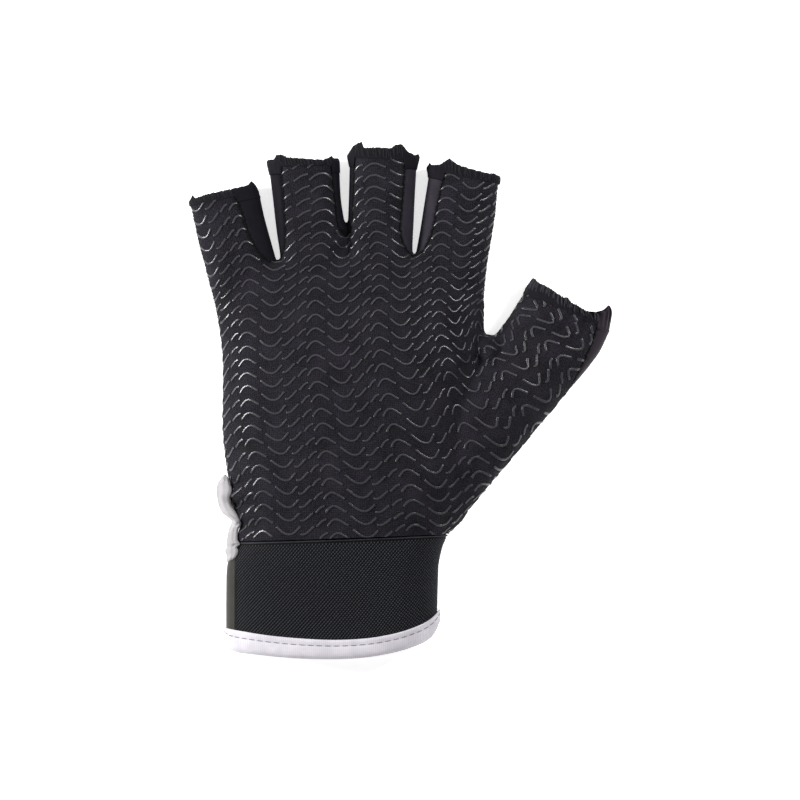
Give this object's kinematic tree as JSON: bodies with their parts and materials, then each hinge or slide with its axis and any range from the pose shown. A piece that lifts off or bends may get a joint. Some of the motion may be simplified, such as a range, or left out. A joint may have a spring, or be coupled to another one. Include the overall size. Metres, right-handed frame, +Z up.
{
  "type": "field hockey glove",
  "caption": "Half-finger right-hand field hockey glove lying palm up: knitted palm and back, finger gussets, folded hems, bound elastic cuff.",
  "frame": {"origin": "on the table under the middle of the glove's outline", "axes": "+X towards the thumb, +Y along the fingers, +Z up out of the palm"},
  "size_m": [0.1536, 0.186, 0.0274],
  "materials": {
    "palm_knit": "matt fine rib knit with glossy raised grip lines",
    "back_knit": "matt fine knit",
    "smooth_strip": "smooth stretch cloth with a soft sheen",
    "hem_thread": "folded hem under slanted overlock thread",
    "woven_elastic": "coarse woven elastic",
    "strap": "smooth coated strap",
    "binding": "white ribbed binding tape",
    "grip_silicone": "glossy printed silicone"
  },
  "bodies": {
    "root": {"palm_panel": "palm_knit", "back_panel": "back_knit", "fourchette_little_ring": "smooth_strip", "fourchette_ring_middle": "smooth_strip", "fourchette_middle_index": "smooth_strip", "thumb_strip": "smooth_strip", "little_hem": "hem_thread", "ring_hem": "hem_thread", "middle_hem": "hem_thread", "index_hem": "hem_thread", "thumb_hem": "hem_thread", "cuff_elastic": "woven_elastic", "wrist_strap": "strap", "cuff_binding": "binding", "vent_binding": "binding"}
  },
  "joints": []
}
